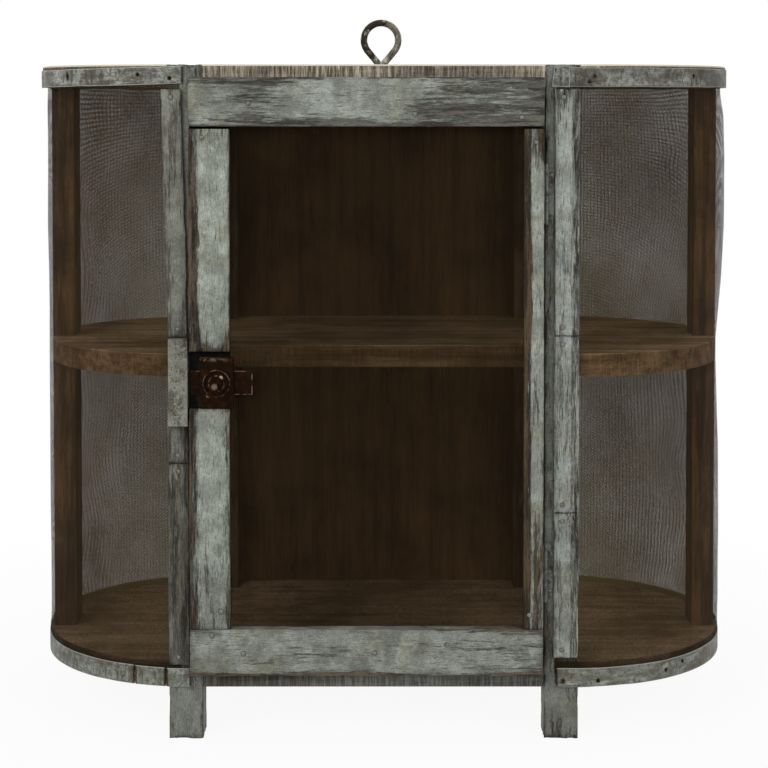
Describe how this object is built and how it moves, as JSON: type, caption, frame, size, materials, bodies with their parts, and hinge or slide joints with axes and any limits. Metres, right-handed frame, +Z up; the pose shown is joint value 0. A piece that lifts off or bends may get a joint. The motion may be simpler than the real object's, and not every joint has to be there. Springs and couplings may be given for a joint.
{
  "type": "pie safe",
  "caption": "Hanging or standing pie safe with half-round ends of wire cloth, a framed gauze door with turn latch, a middle shelf and a hanging eye.",
  "frame": {"origin": "on the floor, midway between the outermost left and right points and between the foremost and rearmost points", "axes": "+X to the right seen from the front, +Y from the door to the back panel, +Z up"},
  "size_m": [0.8128, 0.4274, 0.8042],
  "materials": {
    "painted_wood": "worn grey-green paint over bare wood",
    "painted_post": "worn dark grey paint",
    "bare_board": "bare aged board, rough sawn edges",
    "dark_timber": "bare dark reddish-brown wood",
    "painted_tin": "worn grey-green paint with rust specks",
    "painted_iron": "worn grey paint over iron",
    "rusty_iron": "dark brown rust",
    "wire_cloth": "dull oxidised woven wire"
  },
  "bodies": {
    "case": {"top_board": "bare_board", "bottom_board": "bare_board", "middle_shelf": "bare_board", "front_left_post": "painted_post", "front_right_post": "painted_post", "rear_left_post": "dark_timber", "rear_right_post": "dark_timber", "left_upper_side_post": "dark_timber", "left_lower_side_post": "dark_timber", "right_upper_side_post": "dark_timber", "right_lower_side_post": "dark_timber", "back_panel": "dark_timber", "hanging_eye": "painted_iron", "left_screen": "wire_cloth", "right_screen": "wire_cloth", "top_left_band": "painted_tin", "top_right_band": "painted_tin", "bottom_left_band": "painted_tin", "bottom_right_band": "painted_tin", "band_patch": "painted_tin", "patch_nail": "rusty_iron", "rear_left_lath": "painted_wood", "rear_right_lath": "painted_wood", "front_left_lath_upper": "painted_wood", "front_left_lath_short": "painted_wood", "front_left_lath_lower": "painted_wood", "front_right_lath_upper": "painted_wood", "front_right_lath_middle": "painted_wood", "front_right_lath_lower": "painted_wood", "lath_nails": "rusty_iron", "latch_keeper": "painted_wood", "keeper_screws": "rusty_iron", "hinge_post_leaves": "painted_iron", "hinge_pins": "rusty_iron", "leaf_screws": "rusty_iron"},
    "door": {"door_top_rail": "painted_wood", "door_bottom_rail": "painted_wood", "door_left_stile": "painted_wood", "door_right_stile": "painted_wood", "door_cloth": "wire_cloth", "door_lath_left": "dark_timber", "door_lath_right": "dark_timber", "door_lath_bottom": "dark_timber", "door_lath_top": "dark_timber", "door_nails": "rusty_iron", "hinge_door_leaves": "painted_iron", "latch_case": "rusty_iron", "latch_rose": "rusty_iron", "lock_screws": "rusty_iron"},
    "bolt": {"latch_bolt": "rusty_iron"},
    "turn": {"thumb_turn": "rusty_iron", "turn_spindle": "rusty_iron", "turn_crank": "rusty_iron"}
  },
  "joints": [
    {"name": "door_swing", "type": "hinge", "parent": "case", "child": "door", "pos_m": [0.1781, -0.1714, 0.4], "axis": [0, 0, 1], "range_deg": [0, 95]},
    {"name": "bolt_slide", "type": "slide", "parent": "door", "child": "bolt", "axis": [-1, 0, 0], "range_m": [0, 0.009]},
    {"name": "turn_spin", "type": "hinge", "parent": "door", "child": "turn", "pos_m": [-0.183, -0.1883, 0.3985], "axis": [0, -1, 0], "range_deg": [0, 50]}
  ],
  "couplings": [
    {"joint": "turn_spin", "follows": "bolt_slide", "rad_per_m": 96.9}
  ]
}
